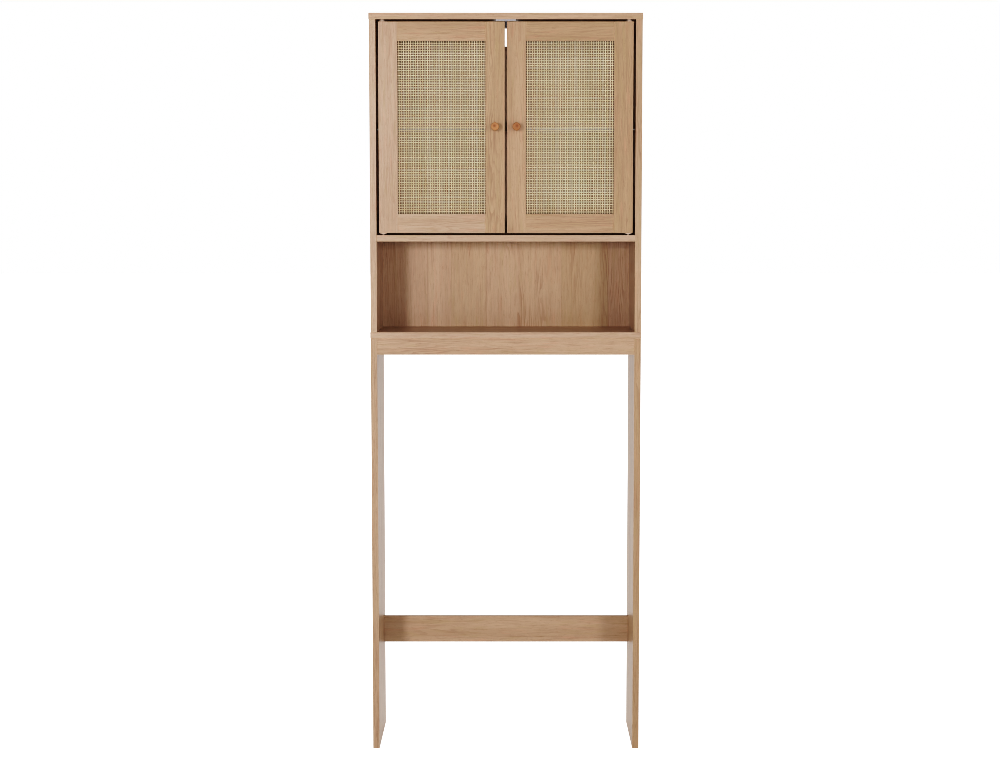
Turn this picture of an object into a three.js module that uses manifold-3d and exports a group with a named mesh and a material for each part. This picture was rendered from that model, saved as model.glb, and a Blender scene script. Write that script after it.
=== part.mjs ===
// Over-toilet storage rack: a two-door cupboard above an open niche, standing on two
// full-depth leg panels that straddle the cistern and bowl.
// Millimetres, +Z up. The front faces -Y, and left is -X. The origin lies on the floor
// under the centre of the whole outline, knobs included.

import * as THREE from 'three';
import { mergeVertices } from 'three/addons/utils/BufferGeometryUtils.js';
import Module from 'manifold-3d';

// ---------------------------------------------------------------------------
// Driving dimensions
// ---------------------------------------------------------------------------

const WIDTH = 640; // top and bottom boards
const DEPTH = 220;
const HEIGHT = 1750;
const BOARD = 15; // thickness of every board, panel and frame member
const OVERHANG = 1; // how far the top and bottom boards pass the panels at each side
const CUPBOARD_HEIGHT = 502; // clear height behind the doors
const NICHE_HEIGHT = 214;
const APRON_HEIGHT = 38;
const CROSSBAR_HEIGHT = 65;
const CROSSBAR_LEVEL = 250; // centre of the crossbar above the floor
const CROSSBAR_INSET = 28; // from the rear edge of the legs
const BACK_THICKNESS = 5;
const BACK_INSET = 7; // from the rear edge of the panels to the rear of the back panel
const GROOVE_DEPTH = 6;
const NOTCH = { width: 60, depth: 45 }; // at the top centre of the back panel

const DOOR_RECESS = 1; // door face behind the front edges of the panels
const DOOR_SIDE_GAP = 5.8;
const DOOR_CENTRE_GAP = 5.2;
const DOOR_END_GAP = 5; // above and below each door
const FRAME_WIDTH = 45; // stiles and rails
const LIP = 5; // wood in front of the cane
const REBATE = 7; // how far the cane runs in behind the wood
const CANE_THICKNESS = 2;
const BEAD_THICKNESS = 6;
const TENON = { length: 10, height: 25, thickness: 5 };

const KNOB_RADIUS = 9.4;
const KNOB_LENGTH = 27;
const KNOB_RISE = 2; // above the middle of the door
const PIVOT_INSET = 10; // from the outer edge of the door
const PIN_RADIUS = 2;
const RUNNING_CLEARANCE = 0.08;
const DOWEL_RADIUS = 4;
const BOLT = { shank: 3, length: 44, head: 6, headDepth: 3 };
const CATCH = { width: 47, plate: 3.5, drop: 17, thickness: 11 };

const ARRIS = 0.6; // small chamfer on every edge
const FIT = 0.2; // gap left around pieces that sit in holes, grooves and rebates
const ROUND = 16; // sides of a small round piece or hole
const KNOB_ROUND = 28;

// ---------------------------------------------------------------------------
// Levels and planes worked out from the dimensions above
// ---------------------------------------------------------------------------

const DOOR_PLANE_TO_KNOB = KNOB_LENGTH - DOOR_RECESS;
const REAR = (DEPTH + DOOR_PLANE_TO_KNOB) / 2;
const FRONT = REAR - DEPTH;
const MIDDLE = (FRONT + REAR) / 2;
const OUTER = WIDTH / 2 - OVERHANG;
const INNER = OUTER - BOARD;

const TOP_UNDERSIDE = HEIGHT - BOARD;
const FLOOR_TOP = TOP_UNDERSIDE - CUPBOARD_HEIGHT;
const FLOOR_UNDERSIDE = FLOOR_TOP - BOARD;
const NICHE_BOTTOM = FLOOR_UNDERSIDE - NICHE_HEIGHT;
const LEG_TOP = NICHE_BOTTOM - BOARD;
const SHELF_UNDERSIDE = (FLOOR_TOP + TOP_UNDERSIDE) / 2;

const BACK_REAR = REAR - BACK_INSET;
const BACK_FRONT = BACK_REAR - BACK_THICKNESS;

const DOOR_FRONT = FRONT + DOOR_RECESS;
const DOOR_REAR = DOOR_FRONT + BOARD;
const DOOR_MID = (DOOR_FRONT + DOOR_REAR) / 2;
const DOOR_BOTTOM = FLOOR_TOP + DOOR_END_GAP;
const DOOR_TOP = TOP_UNDERSIDE - DOOR_END_GAP;
const DOOR_OUTER = INNER - DOOR_SIDE_GAP;
const DOOR_INNER = DOOR_CENTRE_GAP / 2;
const PIVOT_X = DOOR_OUTER - PIVOT_INSET;
const KNOB_X = DOOR_INNER + FRAME_WIDTH / 2;
const KNOB_Z = (DOOR_BOTTOM + DOOR_TOP) / 2 + KNOB_RISE;

// ---------------------------------------------------------------------------
// Materials
// ---------------------------------------------------------------------------

const MATERIALS = {
  oak: new THREE.MeshStandardMaterial({ color: 0xbb9773, roughness: 0.55, metalness: 0 }),
  dowel: new THREE.MeshStandardMaterial({ color: 0xc9ac83, roughness: 0.7, metalness: 0 }),
  knob: new THREE.MeshStandardMaterial({ color: 0xa9703f, roughness: 0.45, metalness: 0 }),
  cane: new THREE.MeshStandardMaterial({ color: 0xc8b48a, roughness: 0.7, metalness: 0 }),
  plastic: new THREE.MeshStandardMaterial({ color: 0xd9d9d6, roughness: 0.4, metalness: 0 }),
  steel: new THREE.MeshStandardMaterial({ color: 0xb4b4b2, roughness: 0.3, metalness: 1 }),
  magnet: new THREE.MeshStandardMaterial({ color: 0x3a3a3c, roughness: 0.5, metalness: 0.6 }),
};

// ---------------------------------------------------------------------------
// Shapes and cutting
// ---------------------------------------------------------------------------

const wasm = await Module();
wasm.setup();

// A board between two corners, with a small chamfer on all its edges.
function board(low, high, arris = ARRIS) {
  const [x0, y0, z0] = low;
  const [x1, y1, z1] = high;
  const outline = new THREE.Shape([
    new THREE.Vector2(x0 + arris, y0),
    new THREE.Vector2(x1 - arris, y0),
    new THREE.Vector2(x1, y0 + arris),
    new THREE.Vector2(x1, y1 - arris),
    new THREE.Vector2(x1 - arris, y1),
    new THREE.Vector2(x0 + arris, y1),
    new THREE.Vector2(x0, y1 - arris),
    new THREE.Vector2(x0, y0 + arris),
  ]);
  const geometry = new THREE.ExtrudeGeometry(outline, {
    depth: z1 - z0 - 2 * arris,
    bevelEnabled: true,
    bevelSegments: 1,
    bevelSize: arris,
    bevelThickness: arris,
    bevelOffset: -arris,
  });
  return geometry.translate(0, 0, z0 + arris);
}

// A sharp-edged block between two corners.
function block(low, high) {
  const size = high.map((value, i) => value - low[i]);
  const centre = high.map((value, i) => (value + low[i]) / 2);
  return new THREE.BoxGeometry(...size).translate(...centre);
}

// A turned piece along a direction from a start point. Each step is [radius, length].
function turned(start, direction, steps, sides = ROUND) {
  const profile = [new THREE.Vector2(0, 0)];
  let along = 0;
  for (const [radius, length] of steps) {
    profile.push(new THREE.Vector2(radius, along));
    along += length;
    profile.push(new THREE.Vector2(radius, along));
  }
  profile.push(new THREE.Vector2(0, along));
  return lathed(start, direction, profile, sides);
}

// A solid of revolution whose profile starts and ends on its axis.
function lathed(start, direction, profile, sides) {
  const up = new THREE.Vector3(0, 1, 0);
  const turn = new THREE.Quaternion().setFromUnitVectors(up, new THREE.Vector3(...direction));
  return new THREE.LatheGeometry(profile, sides).applyQuaternion(turn).translate(...start);
}

// The closed solid that a geometry bounds, without the empty triangles at a lathe's poles.
function solid(geometry) {
  const bare = geometry.clone();
  bare.deleteAttribute('normal');
  bare.deleteAttribute('uv');
  const merged = mergeVertices(bare);
  const corners = merged.index.array;
  const kept = [];
  for (let i = 0; i < corners.length; i += 3) {
    const [a, b, c] = corners.slice(i, i + 3);
    if (a !== b && b !== c && c !== a) {
      kept.push(a, b, c);
    }
  }
  return new wasm.Manifold(new wasm.Mesh({
    numProp: 3,
    vertProperties: new Float32Array(merged.attributes.position.array),
    triVerts: new Uint32Array(kept),
  }));
}

// Adds shapes to a body and takes others away, then gives back its surface.
function shaped(body, { add = [], cut = [] } = {}) {
  let result = solid(body);
  for (const piece of add) {
    result = result.add(solid(piece));
  }
  for (const piece of cut) {
    result = result.subtract(solid(piece));
  }
  const mesh = result.getMesh();
  const geometry = new THREE.BufferGeometry();
  geometry.setAttribute('position', new THREE.BufferAttribute(mesh.vertProperties, 3));
  geometry.setIndex(new THREE.BufferAttribute(mesh.triVerts, 1));
  const faceted = geometry.toNonIndexed();
  faceted.computeVertexNormals();
  return faceted;
}

const rack = new THREE.Group();
rack.name = 'over_toilet_storage_rack';

function place(name, material, geometry) {
  const mesh = new THREE.Mesh(geometry, MATERIALS[material]);
  mesh.name = name;
  rack.add(mesh);
}

// Both sides of the rack, with the sign of X and the word in the node names.
const SIDES = [
  { side: 'left', sign: -1 },
  { side: 'right', sign: 1 },
];

// Corners of a box whose X limits are measured outwards from the centre plane.
function span(sign, xNear, xFar, yLow, yHigh, zLow, zHigh) {
  const xs = [sign * xNear, sign * xFar].sort((a, b) => a - b);
  return [[xs[0], yLow, zLow], [xs[1], yHigh, zHigh]];
}

// ---------------------------------------------------------------------------
// Dowels and bolts: where they run, and the holes they need
// ---------------------------------------------------------------------------

const UP = [0, 0, 1];
const DOWN = [0, 0, -1];
const BACKWARD = [0, 1, 0];
const FORWARD = [0, -1, 0];

const DOWEL_EDGE = 40; // from the front and rear edges to the dowels
const PANEL_X = (OUTER + INNER) / 2;
const DOWEL_ROWS = [
  { row: 'front', y: FRONT + DOWEL_EDGE },
  { row: 'rear', y: REAR - DOWEL_EDGE },
];
const TOP_DOWEL = { above: 10, below: 20 };
const LEG_DOWEL = { above: 20, below: 20 };

// A dowel from one level to another, or its hole when a gap is given.
function dowel(sign, y, zLow, zHigh, gap = 0) {
  const length = zHigh - zLow + 2 * gap;
  return turned([sign * PANEL_X, y, zLow - gap], UP, [[DOWEL_RADIUS + gap, length]]);
}

function topDowel(sign, y, gap) {
  return dowel(sign, y, TOP_UNDERSIDE - TOP_DOWEL.below, TOP_UNDERSIDE + TOP_DOWEL.above, gap);
}

function legDowel(sign, y, gap) {
  return dowel(sign, y, LEG_TOP - LEG_DOWEL.below, NICHE_BOTTOM + LEG_DOWEL.above, gap);
}

// A bolt driven inwards through a side panel or leg, head just below the outer face.
const HEAD_SINK = 0.5;

function bolt(sign, y, z, gap = 0) {
  const start = [sign * (OUTER - HEAD_SINK + (gap ? HEAD_SINK + 1 : 0)), y, z];
  const headLength = BOLT.headDepth + (gap ? HEAD_SINK + 1 + gap : 0);
  const steps = [
    [BOLT.head + gap, headLength],
    [BOLT.shank + gap, BOLT.length],
  ];
  return turned(start, [-sign, 0, 0], steps);
}

const APRON_BOLT = { y: FRONT + BOARD / 2, z: LEG_TOP - APRON_HEIGHT / 2 };
const CROSSBAR_REAR = REAR - CROSSBAR_INSET;
const CROSSBAR_BOLT = { y: CROSSBAR_REAR - BOARD / 2, z: CROSSBAR_LEVEL };
const FLOOR_BOLT = { y: MIDDLE, z: FLOOR_UNDERSIDE + BOARD / 2 };

// ---------------------------------------------------------------------------
// Door pivots: a pin in each end of the hinge stile turns in a bush in the frame
// ---------------------------------------------------------------------------

const PIVOT = { plug: 4, plugLength: 12, flange: 8, flangeThickness: 2.2, shoulder: 2.5 };
const SOCKET = { bush: 4, bushLength: 10, flange: 5.2, flangeThickness: 0.6 };
const SHOULDER_LENGTH = DOOR_END_GAP - PIVOT.flangeThickness - SOCKET.flangeThickness - FIT;
const PIN_LENGTH = FIT + SOCKET.flangeThickness + SOCKET.bushLength - 2;

// A pivot standing on the end of a stile: plug inside, then flange, shoulder and pin.
function pivot(sign, doorEnd, away) {
  const start = [sign * PIVOT_X, DOOR_MID, doorEnd - away[2] * PIVOT.plugLength];
  return turned(start, away, [
    [PIVOT.plug, PIVOT.plugLength],
    [PIVOT.flange, PIVOT.flangeThickness],
    [PIVOT.shoulder, SHOULDER_LENGTH],
    [PIN_RADIUS, PIN_LENGTH],
  ]);
}

function pivotHole(sign, doorEnd, away) {
  const depth = PIVOT.plugLength + FIT;
  const start = [sign * PIVOT_X, DOOR_MID, doorEnd - away[2] * depth];
  return turned(start, away, [[PIVOT.plug + FIT, depth + 1]]);
}

// A flanged bush let into a board of the frame, bored right through for the pin.
function socket(sign, face, into) {
  const start = [sign * PIVOT_X, DOOR_MID, face - into[2] * SOCKET.flangeThickness];
  const length = SOCKET.flangeThickness + SOCKET.bushLength;
  const bush = turned(start, into, [
    [SOCKET.flange, SOCKET.flangeThickness],
    [SOCKET.bush, SOCKET.bushLength],
  ]);
  const boreStart = [start[0], start[1], start[2] - into[2]];
  const bore = turned(boreStart, into, [[PIN_RADIUS + RUNNING_CLEARANCE, length + 2]]);
  return shaped(bush, { cut: [bore] });
}

function socketHole(sign, face, into) {
  const start = [sign * PIVOT_X, DOOR_MID, face - into[2]];
  return turned(start, into, [[SOCKET.bush + FIT, SOCKET.bushLength + FIT + 1]]);
}

// ---------------------------------------------------------------------------
// Magnetic catch: a plate under the top board with a block hanging behind the doors
// ---------------------------------------------------------------------------

const MAGNET_GAP = 0.3; // air between a shut door's strike plate and its magnet
const STRIKE = { width: 18, height: 10, thickness: 1 };
const MAGNET = { radius: 4, depth: 5 };
const CATCH_SCREW = { head: 3.2, headDepth: 1.5, shank: 1.6, length: 12 };
const CATCH_BLOCK_FRONT = DOOR_REAR + STRIKE.thickness + MAGNET_GAP;
const CATCH_BLOCK_REAR = CATCH_BLOCK_FRONT + CATCH.thickness;
const CATCH_REAR = CATCH_BLOCK_REAR + 14;
const CATCH_SCREW_AT = { x: CATCH.width / 4, y: (CATCH_BLOCK_REAR + CATCH_REAR) / 2 };
const MAGNET_Z = TOP_UNDERSIDE - CATCH.drop + MAGNET.radius + 2;
const STRIKE_X = CATCH.width / 4;

function catchScrew(x, gap = 0) {
  const under = TOP_UNDERSIDE - CATCH.plate;
  const start = [x, CATCH_SCREW_AT.y, under - (gap ? 1 : 0)];
  return turned(start, UP, [
    [CATCH_SCREW.head + gap, CATCH_SCREW.headDepth + (gap ? 1 + gap : 0)],
    [CATCH_SCREW.shank + gap, CATCH_SCREW.length],
  ]);
}

function magnet(x, gap = 0) {
  const start = [x, CATCH_BLOCK_FRONT - (gap ? 1 : 0), MAGNET_Z];
  const length = MAGNET.depth + (gap ? 1 + gap : 0);
  return turned(start, BACKWARD, [[MAGNET.radius + gap, length]]);
}

function catchBody() {
  const half = CATCH.width / 2;
  const plateLow = [-half, FRONT + 2, TOP_UNDERSIDE - CATCH.plate];
  const plateHigh = [half, CATCH_REAR, TOP_UNDERSIDE];
  const blockLow = [-half, CATCH_BLOCK_FRONT, TOP_UNDERSIDE - CATCH.drop];
  const blockHigh = [half, CATCH_BLOCK_REAR, TOP_UNDERSIDE - 1];
  const cut = [];
  for (const { sign } of SIDES) {
    cut.push(magnet(sign * STRIKE_X, FIT));
    cut.push(catchScrew(sign * CATCH_SCREW_AT.x, FIT));
  }
  return shaped(block(plateLow, plateHigh), { add: [block(blockLow, blockHigh)], cut });
}

// ---------------------------------------------------------------------------
// Frame boards
// ---------------------------------------------------------------------------

// The slot that the back panel slides in, as one block around the whole panel.
function backGroove() {
  const low = [-INNER - GROOVE_DEPTH, BACK_FRONT - FIT, NICHE_BOTTOM - GROOVE_DEPTH];
  const high = [INNER + GROOVE_DEPTH, BACK_REAR + FIT, TOP_UNDERSIDE + GROOVE_DEPTH];
  return block(low, high);
}

function topBoard() {
  const cut = [backGroove()];
  for (const { sign } of SIDES) {
    cut.push(socketHole(sign, TOP_UNDERSIDE, UP));
    cut.push(catchScrew(sign * CATCH_SCREW_AT.x, FIT));
    for (const { y } of DOWEL_ROWS) {
      cut.push(topDowel(sign, y, FIT));
    }
  }
  const low = [-WIDTH / 2, FRONT, TOP_UNDERSIDE];
  return shaped(board(low, [WIDTH / 2, REAR, HEIGHT]), { cut });
}

const SHELF_PIN = { radius: 2.5, inWood: 9, outside: 8 };
const SHELF_PIN_Z = SHELF_UNDERSIDE - SHELF_PIN.radius;

function shelfPin(sign, y, gap = 0) {
  const start = [sign * (INNER - SHELF_PIN.outside), y, SHELF_PIN_Z];
  const length = SHELF_PIN.outside + SHELF_PIN.inWood + gap;
  return turned(start, [sign, 0, 0], [[SHELF_PIN.radius + gap, length]]);
}

function sidePanel(sign) {
  const cut = [backGroove(), bolt(sign, FLOOR_BOLT.y, FLOOR_BOLT.z, FIT)];
  for (const { y } of DOWEL_ROWS) {
    cut.push(topDowel(sign, y, FIT));
    cut.push(legDowel(sign, y, FIT));
    cut.push(shelfPin(sign, y, FIT));
  }
  const corners = span(sign, INNER, OUTER, FRONT, REAR, NICHE_BOTTOM, TOP_UNDERSIDE);
  return shaped(board(...corners), { cut });
}

function cabinetFloor() {
  const cut = [];
  for (const { sign } of SIDES) {
    cut.push(socketHole(sign, FLOOR_TOP, DOWN));
    cut.push(bolt(sign, FLOOR_BOLT.y, FLOOR_BOLT.z, FIT));
  }
  const low = [-INNER, FRONT, FLOOR_UNDERSIDE];
  return shaped(board(low, [INNER, BACK_FRONT - FIT, FLOOR_TOP]), { cut });
}

const SHELF_SIDE_GAP = 1;
const SHELF_FRONT_GAP = 34; // behind the doors, clear of the catch

function innerShelf() {
  const half = INNER - SHELF_SIDE_GAP;
  const low = [-half, DOOR_REAR + SHELF_FRONT_GAP, SHELF_UNDERSIDE];
  return board(low, [half, BACK_FRONT - SHELF_SIDE_GAP, SHELF_UNDERSIDE + BOARD]);
}

function bottomBoard() {
  const cut = [backGroove()];
  for (const { sign } of SIDES) {
    for (const { y } of DOWEL_ROWS) {
      cut.push(legDowel(sign, y, FIT));
    }
  }
  return shaped(board([-WIDTH / 2, FRONT, LEG_TOP], [WIDTH / 2, REAR, NICHE_BOTTOM]), { cut });
}

// The back panel stops just short of the bottom of each groove.
function backPanel() {
  const reach = GROOVE_DEPTH - 1;
  const low = [-INNER - reach, BACK_FRONT, NICHE_BOTTOM - reach];
  const high = [INNER + reach, BACK_REAR, TOP_UNDERSIDE + reach];
  const half = NOTCH.width / 2;
  const notchLow = [-half, BACK_FRONT - 1, TOP_UNDERSIDE - NOTCH.depth];
  const notch = block(notchLow, [half, BACK_REAR + 1, HEIGHT]);
  return shaped(block(low, high), { cut: [notch] });
}

function leg(sign) {
  const cut = [
    bolt(sign, APRON_BOLT.y, APRON_BOLT.z, FIT),
    bolt(sign, CROSSBAR_BOLT.y, CROSSBAR_BOLT.z, FIT),
  ];
  for (const { y } of DOWEL_ROWS) {
    cut.push(legDowel(sign, y, FIT));
  }
  return shaped(board(...span(sign, INNER, OUTER, FRONT, REAR, 0, LEG_TOP)), { cut });
}

// A rail between the legs, with a bolt hole in each end.
function rail(yLow, yHigh, zLow, zHigh, boltAt) {
  const cut = SIDES.map(({ sign }) => bolt(sign, boltAt.y, boltAt.z, FIT));
  return shaped(board([-INNER, yLow, zLow], [INNER, yHigh, zHigh]), { cut });
}

place('top_board', 'oak', topBoard());
place('cabinet_floor', 'oak', cabinetFloor());
place('inner_shelf', 'oak', innerShelf());
place('bottom_board', 'oak', bottomBoard());
place('back_panel', 'oak', backPanel());

const APRON_BOTTOM = LEG_TOP - APRON_HEIGHT;
place('front_apron', 'oak', rail(FRONT, FRONT + BOARD, APRON_BOTTOM, LEG_TOP, APRON_BOLT));

const CROSSBAR_BOTTOM = CROSSBAR_LEVEL - CROSSBAR_HEIGHT / 2;
const CROSSBAR_TOP = CROSSBAR_LEVEL + CROSSBAR_HEIGHT / 2;
const CROSSBAR_FRONT = CROSSBAR_REAR - BOARD;
place(
  'rear_crossbar',
  'oak',
  rail(CROSSBAR_FRONT, CROSSBAR_REAR, CROSSBAR_BOTTOM, CROSSBAR_TOP, CROSSBAR_BOLT),
);

for (const { side, sign } of SIDES) {
  place(`${side}_side_panel`, 'oak', sidePanel(sign));
  place(`${side}_leg`, 'oak', leg(sign));
  for (const { row, y } of DOWEL_ROWS) {
    place(`top_dowel_${side}_${row}`, 'dowel', shaped(topDowel(sign, y)));
    place(`leg_dowel_${side}_${row}`, 'dowel', shaped(legDowel(sign, y)));
    place(`shelf_pin_${side}_${row}`, 'steel', shaped(shelfPin(sign, y)));
  }
  place(`floor_bolt_${side}`, 'steel', shaped(bolt(sign, FLOOR_BOLT.y, FLOOR_BOLT.z)));
  place(`apron_bolt_${side}`, 'steel', shaped(bolt(sign, APRON_BOLT.y, APRON_BOLT.z)));
  place(`crossbar_bolt_${side}`, 'steel', shaped(bolt(sign, CROSSBAR_BOLT.y, CROSSBAR_BOLT.z)));
  place(`${side}_upper_socket`, 'plastic', socket(sign, TOP_UNDERSIDE, UP));
  place(`${side}_lower_socket`, 'plastic', socket(sign, FLOOR_TOP, DOWN));
}

place('catch_body', 'plastic', catchBody());
for (const { side, sign } of SIDES) {
  place(`catch_magnet_${side}`, 'magnet', shaped(magnet(sign * STRIKE_X)));
  place(`catch_screw_${side}`, 'steel', shaped(catchScrew(sign * CATCH_SCREW_AT.x)));
}

// ---------------------------------------------------------------------------
// Doors
// ---------------------------------------------------------------------------

const OPENING_NEAR = DOOR_INNER + FRAME_WIDTH;
const OPENING_FAR = DOOR_OUTER - FRAME_WIDTH;
const OPENING_BOTTOM = DOOR_BOTTOM + FRAME_WIDTH;
const OPENING_TOP = DOOR_TOP - FRAME_WIDTH;
const CANE_FRONT = DOOR_FRONT + LIP;
const CANE_REAR = CANE_FRONT + CANE_THICKNESS;
const REBATE_REACH = REBATE + FIT;

// The rebate that the cane and bead sit in, open towards the back of the door.
function rebate(sign) {
  return block(...span(
    sign,
    OPENING_NEAR - REBATE_REACH,
    OPENING_FAR + REBATE_REACH,
    CANE_FRONT,
    DOOR_REAR + 1,
    OPENING_BOTTOM - REBATE_REACH,
    OPENING_TOP + REBATE_REACH,
  ));
}

// A rail's stub tenon, or its mortise when a gap is given.
function tenon(sign, xJoint, towards, railMiddle, gap = 0) {
  const root = xJoint - towards;
  const tip = xJoint + towards * (TENON.length + gap);
  const halfHeight = TENON.height / 2 + gap;
  const yLow = DOOR_REAR - BOARD / 2 - TENON.thickness / 2 - gap;
  return block(...span(
    sign,
    Math.min(root, tip),
    Math.max(root, tip),
    yLow,
    yLow + TENON.thickness + 2 * gap,
    railMiddle - halfHeight,
    railMiddle + halfHeight,
  ));
}

const RAIL_MIDDLES = {
  top: DOOR_TOP - (FRAME_WIDTH - REBATE) / 2,
  bottom: DOOR_BOTTOM + (FRAME_WIDTH - REBATE) / 2,
};

const KNOB_SCREW = { head: 4, headDepth: 2, shank: 2, length: 24 };

// The screw enters from the back of the stile, its head sunk flush.
function knobScrew(sign, gap = 0) {
  const start = [sign * KNOB_X, DOOR_REAR + (gap ? 1 : 0), KNOB_Z];
  return turned(start, FORWARD, [
    [KNOB_SCREW.head + gap, KNOB_SCREW.headDepth + (gap ? 1 + gap : 0)],
    [KNOB_SCREW.shank + gap, KNOB_SCREW.length],
  ]);
}

// A short turned knob: a straight foot, a flare, a rounded rim and a slightly dished face.
function knob(sign) {
  const foot = 0.72 * KNOB_RADIUS;
  const rim = 2.2;
  const flareStart = 0.28 * KNOB_LENGTH;
  const flareEnd = 0.55 * KNOB_LENGTH;
  const dish = 0.8;
  const dishRadius = 0.62 * KNOB_RADIUS;
  const profile = [new THREE.Vector2(0, 0), new THREE.Vector2(foot, 0)];
  const flare = new THREE.CubicBezierCurve(
    new THREE.Vector2(foot, flareStart),
    new THREE.Vector2(foot, (flareStart + flareEnd) / 2),
    new THREE.Vector2(KNOB_RADIUS, (flareStart + flareEnd) / 2),
    new THREE.Vector2(KNOB_RADIUS, flareEnd),
  );
  profile.push(...flare.getPoints(5));
  const edge = new THREE.EllipseCurve(KNOB_RADIUS - rim, KNOB_LENGTH - rim, rim, rim, 0, Math.PI / 2);
  profile.push(...edge.getPoints(4));
  profile.push(new THREE.Vector2(dishRadius, KNOB_LENGTH));
  profile.push(new THREE.Vector2(0, KNOB_LENGTH - dish));
  const body = lathed([sign * KNOB_X, DOOR_FRONT, KNOB_Z], FORWARD, profile, KNOB_ROUND);
  return shaped(body, { cut: [knobScrew(sign, FIT)] });
}

for (const { side, sign } of SIDES) {
  const mortises = (xJoint, towards) =>
    Object.values(RAIL_MIDDLES).map((middle) => tenon(sign, xJoint, towards, middle, FIT));

  const hingeStile = span(
    sign, OPENING_FAR, DOOR_OUTER, DOOR_FRONT, DOOR_REAR, DOOR_BOTTOM, DOOR_TOP,
  );
  const hingeCuts = [
    rebate(sign),
    pivotHole(sign, DOOR_TOP, UP),
    pivotHole(sign, DOOR_BOTTOM, DOWN),
    ...mortises(OPENING_FAR, 1),
  ];
  place(`${side}_hinge_stile`, 'oak', shaped(board(...hingeStile), { cut: hingeCuts }));

  const latchStile = span(
    sign, DOOR_INNER, OPENING_NEAR, DOOR_FRONT, DOOR_REAR, DOOR_BOTTOM, DOOR_TOP,
  );
  const latchCuts = [rebate(sign), knobScrew(sign, FIT), ...mortises(OPENING_NEAR, -1)];
  place(`${side}_latch_stile`, 'oak', shaped(board(...latchStile), { cut: latchCuts }));

  for (const [end, middle] of Object.entries(RAIL_MIDDLES)) {
    const zLow = end === 'top' ? OPENING_TOP : DOOR_BOTTOM;
    const length = span(
      sign, OPENING_NEAR, OPENING_FAR, DOOR_FRONT, DOOR_REAR, zLow, zLow + FRAME_WIDTH,
    );
    const add = [
      tenon(sign, OPENING_NEAR, -1, middle),
      tenon(sign, OPENING_FAR, 1, middle),
    ];
    const geometry = shaped(board(...length), { add, cut: [rebate(sign)] });
    place(`${side}_${end}_rail`, 'oak', geometry);
  }

  const webbing = span(
    sign,
    OPENING_NEAR - REBATE,
    OPENING_FAR + REBATE,
    CANE_FRONT + FIT,
    CANE_REAR,
    OPENING_BOTTOM - REBATE,
    OPENING_TOP + REBATE,
  );
  place(`${side}_cane_panel`, 'cane', block(...webbing));

  const beadOuter = span(
    sign,
    OPENING_NEAR - REBATE,
    OPENING_FAR + REBATE,
    CANE_REAR,
    CANE_REAR + BEAD_THICKNESS,
    OPENING_BOTTOM - REBATE,
    OPENING_TOP + REBATE,
  );
  const beadHole = span(
    sign,
    OPENING_NEAR,
    OPENING_FAR,
    CANE_REAR - 1,
    DOOR_REAR,
    OPENING_BOTTOM,
    OPENING_TOP,
  );
  place(`${side}_cane_bead`, 'oak', shaped(block(...beadOuter), { cut: [block(...beadHole)] }));

  place(`${side}_knob`, 'knob', knob(sign));
  place(`${side}_knob_screw`, 'steel', shaped(knobScrew(sign)));
  place(`${side}_upper_pivot`, 'plastic', shaped(pivot(sign, DOOR_TOP, UP)));
  place(`${side}_lower_pivot`, 'plastic', shaped(pivot(sign, DOOR_BOTTOM, DOWN)));

  const strike = span(
    sign,
    STRIKE_X - STRIKE.width / 2,
    STRIKE_X + STRIKE.width / 2,
    DOOR_REAR,
    DOOR_REAR + STRIKE.thickness,
    MAGNET_Z - STRIKE.height / 2,
    MAGNET_Z + STRIKE.height / 2,
  );
  place(`${side}_strike_plate`, 'steel', block(...strike));
}

export default rack;
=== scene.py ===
"""Over-toilet storage rack in light oak, with cane-webbed doors: the looks on the CAD frame."""

import math
import random

import bmesh
import bpy
from mathutils import Matrix, Vector


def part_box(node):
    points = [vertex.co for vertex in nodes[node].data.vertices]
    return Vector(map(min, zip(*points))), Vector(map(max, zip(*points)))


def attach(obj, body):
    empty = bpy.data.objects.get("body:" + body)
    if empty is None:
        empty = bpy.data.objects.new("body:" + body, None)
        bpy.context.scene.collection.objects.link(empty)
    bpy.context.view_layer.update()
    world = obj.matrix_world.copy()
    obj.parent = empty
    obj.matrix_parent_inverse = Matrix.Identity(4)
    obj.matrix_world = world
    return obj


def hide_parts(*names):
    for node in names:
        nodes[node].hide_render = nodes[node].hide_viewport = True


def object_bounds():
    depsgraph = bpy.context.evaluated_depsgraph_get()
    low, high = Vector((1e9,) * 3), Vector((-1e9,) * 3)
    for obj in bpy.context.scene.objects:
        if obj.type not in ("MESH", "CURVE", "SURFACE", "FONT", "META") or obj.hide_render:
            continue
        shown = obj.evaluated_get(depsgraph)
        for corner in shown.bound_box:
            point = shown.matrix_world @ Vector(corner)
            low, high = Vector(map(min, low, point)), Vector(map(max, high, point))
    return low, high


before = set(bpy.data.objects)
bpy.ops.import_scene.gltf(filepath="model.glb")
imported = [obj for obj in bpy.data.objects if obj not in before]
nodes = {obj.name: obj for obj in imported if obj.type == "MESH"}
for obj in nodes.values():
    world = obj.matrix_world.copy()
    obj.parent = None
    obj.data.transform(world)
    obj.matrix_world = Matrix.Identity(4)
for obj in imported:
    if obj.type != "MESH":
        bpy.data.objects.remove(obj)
cad_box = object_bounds()

# ---------------------------------------------------------------------------
# Room and camera. A white sweep lit like a product studio: pale surroundings, a soft key
# from the front left that gives the knobs their shadows, and a weaker fill from the right.
# ---------------------------------------------------------------------------

floor_level = cad_box[0].z
front_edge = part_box("left_leg")[0].y

scene = bpy.context.scene
scene.view_settings.view_transform = "Standard"
scene.view_settings.look = "None"
scene.view_settings.use_curve_mapping = True
TONE_CURVE = ((0.045, 0.012), (0.1, 0.046), (0.2, 0.16), (0.35, 0.35), (0.55, 0.585))
contrast = scene.view_settings.curve_mapping
for light, shown in TONE_CURVE:  # a studio camera's contrast: deep shadows, clean whites
    contrast.curves[3].points.new(light, shown)
contrast.update()

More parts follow.
